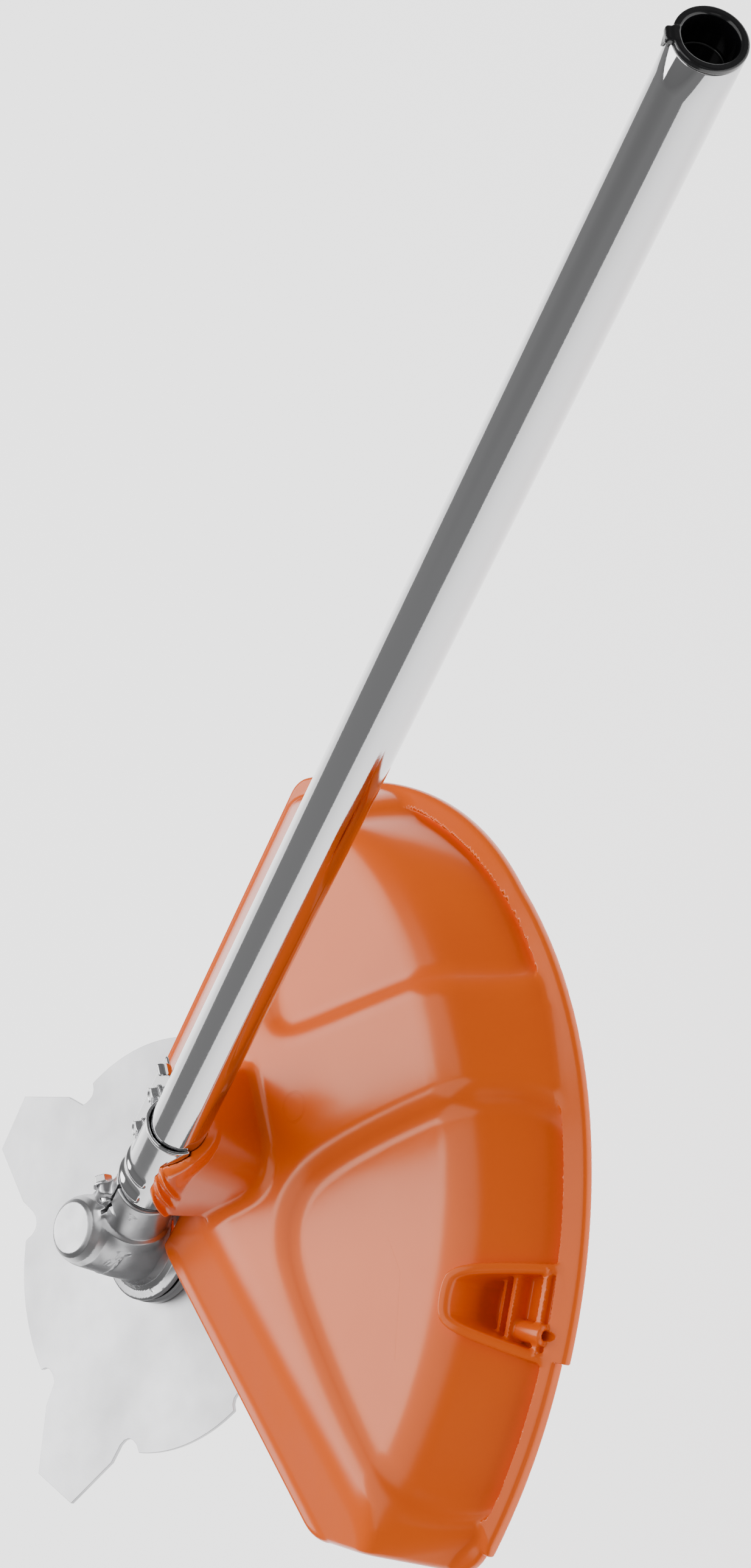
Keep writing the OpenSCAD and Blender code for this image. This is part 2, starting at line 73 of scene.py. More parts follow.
def smax(a, b, r):
    """Larger of two fields, with a fillet of about r where they meet."""
    h = np.maximum(r - np.abs(a - b), 0.0) / r
    return np.maximum(a, b) + h * h * r * 0.25


def smin(a, b, r):
    return -smax(-a, -b, r)


def step(a):
    t = np.clip(a, 0.0, 1.0)
    return t * t * (3 - 2 * t)


def chaikin(points, rounds=3):
    """Rounds the corners of a closed outline."""
    p = np.array(points, float)
    for _ in range(rounds):
        q = np.roll(p, -1, axis=0)
        p = np.stack([0.75 * p + 0.25 * q, 0.25 * p + 0.75 * q], 1).reshape(-1, 2)
    return p


def arc(centre, r, start, end, steps):
    a = np.radians(np.linspace(start, end, steps + 1))
    return [(centre[0] + r * math.cos(t), centre[1] + r * math.sin(t)) for t in a]


def polar(r, degrees):
    a = math.radians(degrees)
    return (r * math.cos(a), r * math.sin(a))


def outline_distance(points, x, y):
    """Signed distance from a closed outline, below zero inside it."""
    p = np.array(points, float)
    q = np.roll(p, -1, axis=0)
    best = np.full(np.shape(x), 1e9)
    inside = np.zeros(np.shape(x), bool)
    for (ax, ay), (bx, by) in zip(p, q):
        dx, dy = bx - ax, by - ay
        t = np.clip(((x - ax) * dx + (y - ay) * dy) / (dx * dx + dy * dy + 1e-12), 0, 1)
        best = np.minimum(best, (x - ax - t * dx) ** 2 + (y - ay - t * dy) ** 2)
        if ay != by:
            crosses = ((y < ay) != (y < by)) & (x < dx * (y - ay) / (by - ay) + ax)
            inside ^= crosses
    d = np.sqrt(best)
    return np.where(inside, -d, d)


class Plan:
    """An outline's signed distance, kept on a fine flat grid so that it is quick to look up."""

    def __init__(self, points, pitch=1.0, margin=30.0):
        p = np.array(points, float)
        self.low = p.min(axis=0) - margin
        self.pitch = pitch
        n = np.ceil((p.max(axis=0) + margin - self.low) / pitch).astype(int) + 2
        gx, gy = np.meshgrid(self.low[0] + pitch * np.arange(n[0]),
                             self.low[1] + pitch * np.arange(n[1]), indexing="ij")
        self.values = outline_distance(p, gx, gy)

    def __call__(self, x, y):
        u = np.clip((x - self.low[0]) / self.pitch, 0, self.values.shape[0] - 1.001)
        v = np.clip((y - self.low[1]) / self.pitch, 0, self.values.shape[1] - 1.001)
        i, j = u.astype(int), v.astype(int)
        fu, fv = u - i, v - j
        w = self.values
        return ((w[i, j] * (1 - fu) + w[i + 1, j] * fu) * (1 - fv)
                + (w[i, j + 1] * (1 - fu) + w[i + 1, j + 1] * fu) * fv)


def tube_frame(x, z):
    """Distance along the tube from the blade axis, and height above the tube's own axis."""
    h = z - APEX
    return x * TUBE_C + h * TUBE_S, h * TUBE_C - x * TUBE_S


def slab(v, low, high):
    return np.abs(v - (low + high) / 2) - (high - low) / 2


def hexagon(u, v, across):
    d = np.abs(u)
    for a in (60, 120):
        d = np.maximum(d, np.abs(u * math.cos(math.radians(a)) + v * math.sin(math.radians(a))))
    return d - across / 2


def gridlines(*parts):
    """Grid lines from (start, end, pitch) stretches that follow one another."""
    lines = [np.array([parts[0][0]], float)]
    for start, end, pitch in parts:
        lines.append(np.linspace(start, end, max(2, int(round((end - start) / pitch)) + 1))[1:])
    return np.concatenate(lines)


# ---- Meshes ----

def skin(field, xs, ys, zs):
    """Closed quad mesh of the surface where the field is zero, with its normals."""
    gx, gy = np.meshgrid(xs, ys, indexing="ij")
    values = np.empty((len(xs), len(ys), len(zs)), np.float32)
    for k, z in enumerate(zs):
        values[:, :, k] = field(gx, gy, np.full(gx.shape, z))
    for side in (0, -1):
        values[side], values[:, side], values[:, :, side] = 1.0, 1.0, 1.0
    inside = values < 0
    corners = [(a, b, c) for a in (0, 1) for b in (0, 1) for c in (0, 1)]
    n = np.array(values.shape) - 1
    count = np.zeros(n, np.int8)
    for a, b, c in corners:
        count += inside[a:a + n[0], b:b + n[1], c:c + n[2]]
    mixed = (count > 0) & (count < 8)
    ids = np.full(mixed.shape, -1, np.int32)
    ids[mixed] = np.arange(mixed.sum())
    i, j, k = np.nonzero(mixed)
    axes = (np.asarray(xs), np.asarray(ys), np.asarray(zs))
    total = np.zeros((len(i), 3))
    hits = np.zeros(len(i))
    for a, b, c in corners:
        for axis in range(3):
            if (a, b, c)[axis]:
                continue
            e = [a, b, c]
            e[axis] = 1
            v0 = values[i + a, j + b, k + c]
            v1 = values[i + e[0], j + e[1], k + e[2]]
            cut = (v0 < 0) != (v1 < 0)
            t = np.where(cut, v0 / np.where(cut, v0 - v1, 1), 0)
            p0 = np.stack([axes[0][i + a], axes[1][j + b], axes[2][k + c]], 1)
            p1 = np.stack([axes[0][i + e[0]], axes[1][j + e[1]], axes[2][k + e[2]]], 1)
            total += np.where(cut[:, None], p0 + (p1 - p0) * t[:, None], 0)
            hits += cut
    points = total / hits[:, None]
    lo = np.stack([axes[0][i], axes[1][j], axes[2][k]], 1)
    hi = np.stack([axes[0][i + 1], axes[1][j + 1], axes[2][k + 1]], 1)

    def slope(p):
        g = np.empty_like(p)
        for axis in range(3):
            d = np.zeros(3)
            d[axis] = 0.06
            g[:, axis] = (field(*(p + d).T) - field(*(p - d).T)) / 0.12
        return g

    for _ in range(3):
        g = slope(points)
        f = field(*points.T)
        points = points - g * (f / np.maximum((g * g).sum(axis=1), 0.05))[:, None]
        points = np.clip(points, lo, hi)
    normals = slope(points)
    normals /= np.maximum(np.linalg.norm(normals, axis=1), 1e-6)[:, None]

    quads = []
    for axis in range(3):
        b, c = (axis + 1) % 3, (axis + 2) % 3
        first = np.take(inside, range(n[axis]), axis=axis)
        second = np.take(inside, range(1, n[axis] + 1), axis=axis)
        for flip, found in ((False, first & ~second), (True, ~first & second)):
            at = np.array(np.nonzero(found)).T
            at = at[(at[:, b] > 0) & (at[:, c] > 0) & (at[:, b] < n[b]) & (at[:, c] < n[c])]
            ring = []
            for db, dc in ((-1, -1), (0, -1), (0, 0), (-1, 0)):
                cell = at.copy()
                cell[:, b] += db
                cell[:, c] += dc
                ring.append(ids[cell[:, 0], cell[:, 1], cell[:, 2]])
            quad = np.stack(ring, 1)
            quads.append(quad[:, ::-1] if flip else quad)
    return points, np.concatenate(quads), normals


def add_mesh(name, points, faces, normals=None):
    """Object from points in field millimetres."""
    mesh = bpy.data.meshes.new(name)
    rows = np.asarray(points, float) * MM
    rows[:, 2] += BLADE_TOP * MM
    mesh.from_pydata(rows.tolist(), [], np.asarray(faces).tolist())
    mesh.polygons.foreach_set("use_smooth", np.ones(len(mesh.polygons), bool))
    mesh.update()
    if normals is not None:
        mesh.normals_split_custom_set_from_vertices(np.asarray(normals).tolist())
    obj = bpy.data.objects.new(name, mesh)
    bpy.context.scene.collection.objects.link(obj)
    return obj


def add_skin(name, field, xs, ys, zs):
    return add_mesh(name, *skin(field, xs, ys, zs))


def box_lines(low, high, pitch):
    return [gridlines((a, b, pitch)) for a, b in zip(low, high)]


def add_turned(name, profile, place, turns=128):
    """Closed profile of (radius, height) points turned about an axis; place maps to field mm."""
    a = np.linspace(0, 2 * math.pi, turns, endpoint=False)
    p = np.array(profile, float)
    r, h = p[:, 0][:, None], p[:, 1][:, None]
    ring = np.stack([r * np.cos(a), r * np.sin(a), np.repeat(h, turns, 1)], -1)
    points = place(ring.reshape(-1, 3))
    m = len(p)
    s, t = np.meshgrid(np.arange(m), np.arange(turns), indexing="ij")
    s2, t2 = (s + 1) % m, (t + 1) % turns
    faces = np.stack([s * turns + t, s * turns + t2, s2 * turns + t2, s2 * turns + t], -1)
    return add_mesh(name, points, faces.reshape(-1, 4))


def on_tube(p):
    """From tube coordinates (upper side -X, +Y, along +Z) to field millimetres."""
    up, along = -p[:, 0], p[:, 2]
    return np.stack([along * TUBE_C - up * TUBE_S, p[:, 1],
                     APEX + along * TUBE_S + up * TUBE_C], 1)


def upright(p):
    return p


def finish_piece(obj, body, slot, material, *nodes):
    obj.data.materials.clear()
    obj.data.materials.append(material)
    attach(obj, body)
    if nodes:
        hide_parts(*nodes)
    return obj


# ---- Guard ----

TOP_R = 226.0
FOOT_R = 262.0
PLATE = 40.0
RIM_R = 269.0
RIM_H = 5.0
SHELL = 2.5
LIP = 9.5
SINK = 5.0
POCKET_TURN = math.radians(-30.7)
SIDE_X = 91.7
SIDE_FOOT_R = 170.3
SIDE_RUN = 18.0

GUARD_OUTLINE = ([(24, 6), (21.6, -4), (22.6, -18), (27.3, -33)]
                 + arc((94.9, -160.2), 23.8, 198.5, 247, 6) + arc((143, -198), 17, 247, 306, 8)
                 + arc((0, 0), RIM_R, -54, -12, 40)
                 + [polar(RIM_R - 3.2 * ((a + 12) / 17) ** 2, a) for a in range(-10, 13, 2)]
                 + arc((124, 22.5), 136.6, 16, 71.7, 36) + arc((163.1, 140.8), 12, 76, 126.9, 8)
                 + [(45, 67), (38, 54), (36, 30), (36, 12)])
NEAR_FLOOR = chaikin([(114, -70), (116, -50), (126, -38), (144, -33.5), (181, -34.7),
                      (217, -38.8), (236, -42), (247, -49), (253, -62)]
                     + arc((0, 0), 260, -18, -44, 16)
                     + [(176, -194), (160, -194.5), (148, -190), (141, -181), (126.5, -133)])
FAR_FLOOR = chaikin([(134, 60), (134, 48), (137, 42), (144, 38.5), (190, 31.5), (226, 25.5),
                     (243, 20), (254, 17)] + arc((0, 0), 260, 5, 8, 2)
                    + arc((124, 22.5), 128.6, 14, 44, 12)
                    + [(199, 118), (186, 115), (160, 92)])
POCKET = chaikin([(226.5, -6), (229, -8.8), (234, -10.8), (242, -13), (252, -15.5),
                  (263, -17.6), (263, 17.6), (252, 15.8), (242, 13.6), (234, 11.2),
                  (229, 9), (226.5, 6)], 2)


class GuardPlans:
    """Flat maps that the guard's field looks up."""

    def __init__(self):
        self.outline = Plan(GUARD_OUTLINE)
        self.near = Plan(NEAR_FLOOR)
        self.far = Plan(FAR_FLOOR)
        self.pocket = Plan(POCKET, pitch=0.5)


def sunk(surface, distance, width, depth=SINK):
    """Surface lowered inside an outline, with a sloping side of the given width."""
    side = (depth * (width - distance) / width + surface) * width / math.hypot(width, depth)
    return smax(surface, smin(surface + depth, side, 2.2), 2.6)


def pocket_frame(x, y):
    c, s = math.cos(POCKET_TURN), math.sin(POCKET_TURN)
    return x * c + y * s, y * c - x * s


def guard_top(x, y, z, plans):
    """The guard's outer surface, without its edge."""
    r = np.hypot(x, y)
    drop, run = PLATE - RIM_H, FOOT_R - TOP_R
    wall = ((r - TOP_R) * drop + (z - PLATE) * run) / math.hypot(drop, run)
    side_r = np.hypot(x - SIDE_X, y) - 45 * step(-y / 40)
    side = ((side_r - SIDE_FOOT_R + SIDE_RUN) * drop + (z - PLATE) * SIDE_RUN) / math.hypot(
        drop, SIDE_RUN)
    near_s = 0.9483 * x + 0.3173 * y
    far_s = 0.6004 * x - 0.7997 * y
    near = (-20 * (near_s - 58.2) + 42.8 * (z - PLATE)) / 47.24
    far = (-20 * (far_s - 5.3) + 32.1 * (z - PLATE)) / 37.82
    top = smax(smax(z - PLATE, wall, 9.0), side, 4.0)
    top = smax(top, near, 5.0)
    top = smax(top, far, 5.0)
    strip = smin(np.maximum(z - 22.6, near_s - 34), np.maximum(z - 22.6, far_s + 8), 0.5)
    top = smin(top, strip, 1.6)
    v, u = pocket_frame(x, y)
    pocket = plans.pocket(v, u)
    island = smax(top, pocket - 4.6, 1.6)
    top = sunk(top, plans.near(x, y), 8.5)
    top = smin(top, island, 1.6)
    top = sunk(top, plans.far(x, y), 9.0)
    floor = 5.6 - z
    hollow = smax(pocket, floor, 2.0)
    top = smax(top, -hollow, 2.2)
    crown = z - 4.2 + 0.3 * plans.outline(x, y)
    beyond = np.minimum(258.5 - r, SIDE_FOOT_R - 3.5 - side_r)
    flange = smin(np.maximum(crown, beyond), np.maximum(z - 2.6, 235 - r), 1.2)
    top = smin(top, flange, 1.6)
    for at, half, crest in ((234.6, 0.8, 12.5), (242.5, 1.2, 15.0), (254.8, 1.5, 10.0)):
        rib = np.maximum(np.maximum(slab(v, at - half, at + half), z - crest), pocket - 2)
        top = smin(top, np.maximum(rib, -z), 1.4)
    return top


def finger_ribs(along, up, y):
    """Three slanting bands on the collar's near side, with hollows between them."""
    slant = along - 2.0 * up
    high = 0
    for at, top in ((65.5, 8.0), (76.0, 8.5), (86.0, 8.5)):
        bend = slant - at - 0.16 * (up - 4) ** 2 * 0.35
        high = high + np.exp(-(bend / 2.3) ** 2) * step((top - up) / 2.5)
    hollow = np.exp(-(((slant - 76) / 15.5) ** 4))
    return (2.0 * high - 1.1 * hollow) * step((-y - 7) / 4) * step((up + 5.5) / 5)


def hub_block(x, y, z):
    """Saddle under the tube that the clamp pulls the guard up against."""
    along, up = tube_frame(x, z)
    near = (-(y + 27) * 27 + (z - PLATE) * 9.5) / 28.62
    end = (x - 115.5) * 0.983 + (z - PLATE) * 0.182
    far = (y - 31) * 0.985 + (z - PLATE) * 0.17
    low_end = -0.283 * (x - 52) - 0.925 * (y + 18) + 0.252 * (z - 48)
    body = smax(smax(smax(near, low_end, 8.0), end, 20.0), far, 8.0)
    collar = np.hypot(up, y) - 18.2
    reach = 8.8 - 10.5 * step((along - 99) / 18)
    wrap = smax(smax(collar, y + 3, 1.5), up - reach, 5.0)
    wrap = smax(wrap, along - 116, 3.0)
    lower = up + 1.0
    block = smin(smax(body, lower, 2.2), wrap, 1.5)
    block = smax(block, CLAMP_START + 0.7 - along, 3.0)
    nearly = step((-y - 2) / 8)
    nose = smax((62.5 - along + 2.0 * up) / 2.24, (58.6 - along - 0.56 * up) / 1.15, 2.0)
    block = smax(block, nose * nearly - 30 * (1 - nearly), 2.5)
    block = smax(block, along - CLAMP_END - 1.2, 2.0)
    block = np.where(z < 30, 30 - z, block) if np.ndim(z) else block
    return block - finger_ribs(along, up, y)


def guard_field(x, y, z, plans):
    r = np.hypot(x, y)
    top = guard_top(x, y, z, plans)
    edge = plans.outline(x, y)
    turn = np.degrees(np.arctan2(y, x))
    edge = smax(edge, np.where(turn < -34.9, r - 264.6, -50), 1.0)
    outer = smax(top, edge, 2.4)
    shell = smax(outer, -(outer + SHELL), 0.9)
    shell = smax(shell, -(top + LIP), 0.9)
    shell = smax(shell, -z, 0.6)
    along, up = tube_frame(x, z)
    block = smax(hub_block(x, y, z), PLATE - SHELL - z, 0.5)
    solid = smin(shell, block, 5.0)
    boss_v, boss_u = (x * math.cos(math.radians(-32.7)) + y * math.sin(math.radians(-32.7)),
                      y * math.cos(math.radians(-32.7)) - x * math.sin(math.radians(-32.7)))
    bore = np.hypot(boss_u, z - 8)
    face = 258.8 + 0.5 * np.exp(-((bore - 3.1) / 0.7) ** 2)
    column = smax(smax(bore - 4.7, boss_v - face, 0.7), 243 - boss_v, 0.5)
    solid = smin(solid, column, 1.2)
    solid = smax(solid, -np.maximum(bore - 2.1, 246 - boss_v), 0.4)
    seat = np.hypot(up, y)
    solid = smax(solid, -np.maximum(seat - (TUBE_R + 0.05), 20 - along), 0.5)
    strap_room = np.maximum(np.maximum(seat - 14.35, CLAMP_START - 1 - along), -3.5 - up)
    solid = smax(solid, -strap_room, 0.6)
    solid = smax(solid, -np.maximum(seat - 18.3, along - CLAMP_START - 0.5), 0.8)
    solid = smax(solid, -np.maximum(r - 20.6, 12 - z), 0.8)
    solid = smax(solid, -np.maximum(r - 29.5, z - 14.5), 0.8)
    for place in BOLT_PLACES:
        hole = np.maximum(np.hypot(along - place, y - BOLT_Y) - 2.7, np.abs(up + 8) - 16)
        pocket = np.maximum(np.maximum(slab(along, place - 4.1, place + 4.1),
                                       slab(up, -10.2, -5.9)), BOLT_Y - 4.8 - y)
        solid = smax(smax(solid, -hole, 0.3), -pocket, 0.4)
    return solid


# ---- Gear head ----

HOUSING_PROFILE = [(0, 6.5), (26.4, 6.5), (27, 7.1), (27, 8.6), (26.4, 9.2), (22.4, 9.9),
                   (20.6, 11.6), (19.5, 16), (18.7, 24), (17.7, 34), (16.9, 42), (16.3, 47.5),
                   (15.2, 51), (13.4, 54), (11.9, 55.2), (11.4, 55.4), (0, 55.4)]


class HousingPlans:
    def __init__(self):
        mirrored = HOUSING_PROFILE + [(-r, h) for r, h in HOUSING_PROFILE[::-1]]
        self.profile = Plan(mirrored, pitch=0.25, margin=20)


def housing_field(x, y, z, plans):
    r = np.hypot(x, y)
    along, up = tube_frame(x, z)
    seat = np.hypot(up, y)
    barrel = plans.profile(r, z)
    thick = 15.0 + 1.6 * step((29.8 - along) / 2.2) - 0.8 * step((5 - along) / 5)
    neck = smax(seat - thick, along - 57.5, 1.2)
    neck = smax(neck, -along - 2, 3.0)
    body = smin(barrel, neck, 6.5)
    lug = smax(smax(slab(along, 33.5, 46.5), slab(y, 1.5, 8), 1.5), up - 20.2, 4.0)
    lug = smax(lug, 8 - up, 1.0)
    body = smin(body, lug, 2.6)
    crest = 19.4 - 0.18 * (along - 16)
    rib = smax(smax(np.abs(y) - 1.5, up - crest, 1.0), slab(along, 11, 31), 2.0)
    body = smin(body, rib, 2.4)
    seam = np.exp(-((up - 9.0 + 0.35 * (along - 10)) / 0.5) ** 2) * step((16 - along) / 3)
    body = body - 0.22 * seam * step((-y - 4) / 4)
    cut = smin(np.maximum(r - 14, slab(z, 5, 17)), np.maximum(r - 12, slab(z, 16, 26)), 0.3)
    cut = smin(cut, np.maximum(r - 15, slab(z, 24, 43.2)), 0.3)
    cut = np.minimum(cut, np.maximum(r - 13, slab(z, 43, 51.3)))
    cut = np.minimum(cut, np.maximum(seat - 11.8, slab(along, 8, 26)))
    cut = np.minimum(cut, np.maximum(seat - 12.0, slab(along, 25, 38.2)))
    cut = np.minimum(cut, np.maximum(seat - (TUBE_R + 0.05), slab(along, 38, 80)))
    body = smax(body, -cut, 0.4)
    slit = np.maximum(np.maximum(np.abs(y) - 0.8, slab(along, 30, 70)), -up)
    body = smax(body, -slit, 0.4)
    off = np.hypot(along - 40, up - SCREW_UP)
    screw = np.minimum(np.maximum(off - 2.6, np.abs(y) - 30), np.maximum(off - 5.4, 8 - y))
    return smax(body, -screw, 0.4)


def strap_field(x, y, z):
    """Pressed sheet that holds the tube down in the guard's seat."""
    along, up = tube_frame(x, z)
    seat = np.hypot(up, y)
    lift = 1.75 * np.exp(-((along - 65.8) / 3.3) ** 2) + 1.3 * np.exp(-((along - 79.5) / 2.6) ** 2)
    lift = lift * step((up - 8.6) / 2.2)
    lift = lift + 0.55 * np.exp(-((along - CLAMP_END + 0.9) / 0.8) ** 2) * step((up - 2) / 3)
    sheet = np.abs(seat - 13.5 - lift) - 0.72
    low = np.where(y < 0, -2.4, 1.2)
    sheet = smax(sheet, low - up, 0.5)
    sheet = smax(sheet, slab(along, CLAMP_START, CLAMP_END), 0.6)
    ear = smax(slab(up, 1.0, 2.5), slab(y, 12.6, 29.6), 0.5)
    ear = smax(ear, slab(along, CLAMP_START, 127), 0.5)
    ear = smax(ear, y + 0.8 * np.abs(along - 92) - 58, 3.0)
    curl = np.abs(np.hypot(along - 127, up - 6.2) - 4.45) - 0.75
    curl = smax(smax(curl, 127 - along, 0.4), up - 8.5, 0.5)
    curl = smax(curl, slab(y, 17.5, 24), 1.5)
    body = smin(smin(sheet, ear, 1.6), curl, 0.8)
    for place in BOLT_PLACES:
        body = smax(body, -(np.hypot(along - place, y - BOLT_Y) - 2.7), 0.3)
    return body


# ---- Fasteners and small pieces ----

def hex_head(u, v, h, across, low, high, chamfer_down=False):
    """Hexagon head from low to high, rounded off by a cone on its outer end."""
    head = smax(hexagon(u, v, across), slab(h, low, high), 0.35)
    r = np.hypot(u, v)
    end = (low - h) if chamfer_down else (h - high)
    cone = (r - across * 0.52) * 0.5 + end * 0.866
    return smax(head, cone, 0.3)


def clamp_bolts_field(x, y, z):
    along, up = tube_frame(x, z)
    best = None
    for place in BOLT_PLACES:
        u, v = along - place, y - BOLT_Y
        head = hex_head(u, v, up, 8, 3.5, 7.1)
        dimple = np.maximum(np.hypot(u, v) - 2.4, 6.6 - up)
        head = smax(head, -dimple, 0.5)
        shank = smax(np.hypot(u, v) - 2.48, slab(up, -11, 4), 0.5)
        bolt = smin(head, shank, 0.2)
        best = bolt if best is None else np.minimum(best, bolt)
    return best


def clamp_nuts_field(x, y, z):
    along, up = tube_frame(x, z)
    best = None
    for place in BOLT_PLACES:
        u, v = along - place, y - BOLT_Y
        nut = hex_head(u, v, up, 7.9, -10.0, -6.0, chamfer_down=True)
        nut = smax(nut, 2.55 - np.hypot(u, v), 0.3)
        best = nut if best is None else np.minimum(best, nut)
    return best


def neck_screw_field(x, y, z):
    along, up = tube_frame(x, z)
    u, v = along - 40, up - SCREW_UP
    shank = smax(np.hypot(u, v) - 2.48, slab(y, 0, 9), 0.4)
    collar = smax(np.hypot(u, v) - 4.7, slab(y, 8.02, 9.1), 0.4)
    head = hex_head(v, u, y, 8, 9, 12.6)
    socket = np.maximum(hexagon(u, v, 3.6), 10.6 - y)
    return smin(smin(smax(head, -socket, 0.3), collar, 0.3), shank, 0.2)


def grease_plug_field(x, y, z):
    u, v = x, z - 31
    stem = smax(np.hypot(u, v) - 2.95, slab(y, 15.6, 18.4), 0.4)
    head = hex_head(u, v, y, 9, 18.1, 21)
    return smin(head, stem, 0.3)


def blade_nut_field(x, y, z):
    h = z + BLADE_TOP
    r = np.hypot(x, y)
    body = hex_head(x, y, h, 17, 8.5, 15, chamfer_down=True)
    flange = smax(r - 10.8, slab(h, 14.9, 16.7), 0.7)
    return smax(smin(body, flange, 1.0), 5.05 - r, 0.5)


def end_cap_field(x, y, z):
    along, up = tube_frame(x, z)
    r = np.hypot(up, y)
    flange = smax(r - TUBE_R, slab(along, 905, 908), 0.9)
    plug = np.maximum(r - 11.1, slab(along, 888, 906))
    turn = math.radians(10)
    a = up * math.cos(turn) + y * math.sin(turn)
    b = y * math.cos(turn) - up * math.sin(turn)
    nub = smax(smax(np.abs(b) - 3.0, a - (TUBE_R + 2.3), 1.2), slab(along, 905, 908), 0.9)
    nub = smax(nub, 8 - a, 0.5)
    taper = np.abs(b) - 2.3 * (along - 900) / 5.5
    tongue = smax(smax(taper * 0.9, slab(a, TUBE_R + 0.75, TUBE_R + 2.05), 0.4),
                  slab(along, 900.4, 906), 0.3)
    solid = smin(smin(smin(flange, plug, 0.2), nub, 0.8), tongue, 0.4)
    recess = smax(r - 9.4 - 0.5 * step((along - 906.5) / 1.5), 893 - along, 1.0)
    return smax(solid, -recess, 0.9)


# ---- Materials ----

class Recipe:
    """Small helper for a procedural material."""

    def __init__(self, name, colour, metallic, roughness, ior=1.5, coat=0.0):
        self.material = bpy.data.materials.new(name)
        self.material.use_nodes = True
        self.tree = self.material.node_tree
        self.shader = self.tree.nodes["Principled BSDF"]
        for key, value in (("Base Color", (*colour, 1)), ("Metallic", metallic),
                           ("Roughness", roughness), ("IOR", ior), ("Coat Weight", coat)):
            self.shader.inputs[key].default_value = value
        self.colour, self.roughness = colour, roughness
        self.height = None
        self.at = self.node("ShaderNodeTexCoord").outputs["Object"]

    def node(self, kind, **settings):
        node = self.tree.nodes.new(kind)
        for key, value in settings.items():
            if key in node.inputs:
                node.inputs[key].default_value = value
            else:
                setattr(node, key, value)
        return node

    def link(self, a, b):
        self.tree.links.new(a, b)
        return b

    def stretched(self, turn, scale):
        mapping = self.node("ShaderNodeMapping")
        mapping.inputs["Rotation"].default_value = turn
        mapping.inputs["Scale"].default_value = scale
        self.link(self.at, mapping.inputs["Vector"])
        return mapping.outputs["Vector"]

    def noise(self, vector, scale, detail=4.0, roughness=0.55):
        noise = self.node("ShaderNodeTexNoise", Scale=scale, Detail=detail, Roughness=roughness)
        self.link(vector, noise.inputs["Vector"])
        return noise.outputs["Fac"]

    def math(self, operation, a, b=None, c=None):
        node = self.node("ShaderNodeMath", operation=operation)
        for socket, value in zip(node.inputs, (a, b, c)):
            if value is None:
                continue
            if isinstance(value, (int, float)):
                socket.default_value = value
            else:
                self.link(value, socket)
        return node.outputs[0]

    def spread(self, value, low, high):
        node = self.node("ShaderNodeMapRange", clamp=True)
        self.link(value, node.inputs["Value"])
        node.inputs["From Min"].default_value = 0.3
        node.inputs["From Max"].default_value = 0.7
        node.inputs["To Min"].default_value = low
        node.inputs["To Max"].default_value = high
        return node.outputs["Result"]

    def vary_roughness(self, value, amount):
        low, high = max(self.roughness - amount, 0.02), self.roughness + amount
        self.link(self.spread(value, low, high), self.shader.inputs["Roughness"])

    def vary_colour(self, value, other):
        mix = self.node("ShaderNodeMix", data_type="RGBA")
        mix.inputs[6].default_value = (*self.colour, 1)
        mix.inputs[7].default_value = (*other, 1)
        self.link(self.spread(value, 0.0, 1.0), mix.inputs["Factor"])
        self.link(mix.outputs[2], self.shader.inputs["Base Color"])

    def bump(self, value, distance, strength=1.0):
        node = self.node("ShaderNodeBump", Distance=distance, Strength=strength)
        self.link(value, node.inputs["Height"])
        if self.height is not None:
            self.link(self.height, node.inputs["Normal"])
        self.height = node.outputs["Normal"]
        self.link(self.height, self.shader.inputs["Normal"])


def tube_turn():
    return (0.0, TUBE_ANGLE, 0.0)


def chrome_material(name, colour, roughness, along_tube):
    recipe = Recipe(name, colour, 1.0, roughness)
    turn = tube_turn() if along_tube else (0.0, 0.0, 0.0)
    drawn = recipe.stretched(turn, (6.0, 900.0, 900.0) if along_tube else (60.0, 60.0, 60.0))
    fine = recipe.noise(drawn, 1.0, 3.0)
    cloudy = recipe.noise(recipe.at, 45.0, 4.0)
    recipe.vary_roughness(recipe.math("MULTIPLY_ADD", fine, 0.5, recipe.math(
        "MULTIPLY", cloudy, 0.5)), roughness * 0.45)
    recipe.bump(fine, 0.000004)
    recipe.bump(recipe.noise(recipe.at, 9.0, 1.0), 0.00012)
    return recipe.material


def steel_material(name, colour, roughness, grain=0.000008):
    recipe = Recipe(name, colour, 1.0, roughness)
    fine = recipe.noise(recipe.at, 900.0, 6.0, 0.7)
    cloudy = recipe.noise(recipe.at, 60.0, 4.0)
    recipe.vary_roughness(cloudy, roughness * 0.3)
    recipe.vary_colour(cloudy, tuple(c * 0.88 for c in colour))
    recipe.bump(fine, grain)
    return recipe.material


def blade_material(colour):
    recipe = Recipe("Ground blade steel", colour, 1.0, 0.42)
    rings = recipe.node("ShaderNodeTexWave", wave_type="RINGS", rings_direction="Z",
                        Scale=160.0, Distortion=6.0, Detail=3.0)
    recipe.link(recipe.at, rings.inputs["Vector"])
    cloudy = recipe.noise(recipe.at, 14.0, 5.0)
    recipe.vary_roughness(cloudy, 0.1)
    recipe.vary_colour(cloudy, tuple(c * 0.93 for c in colour))
    recipe.bump(rings.outputs["Fac"], 0.000004)
    recipe.bump(recipe.noise(recipe.at, 700.0, 5.0), 0.000008)
    return recipe.material


def cast_material(colour):
    recipe = Recipe("Satin cast aluminium", colour, 1.0, 0.34)
    grainy = recipe.noise(recipe.at, 520.0, 6.0, 0.65)
    cloudy = recipe.noise(recipe.at, 38.0, 5.0)
    pits = recipe.node("ShaderNodeTexVoronoi", Scale=420.0)
    recipe.link(recipe.at, pits.inputs["Vector"])
    patch = recipe.math("GREATER_THAN", recipe.noise(recipe.at, 55.0, 2.0), 0.64)
    deep = recipe.math("MULTIPLY", patch, pits.outputs["Distance"])
    recipe.vary_roughness(cloudy, 0.1)
    recipe.vary_colour(cloudy, tuple(c * 0.78 for c in colour))
    recipe.bump(grainy, 0.00003)
    recipe.bump(deep, 0.0003)
    return recipe.material


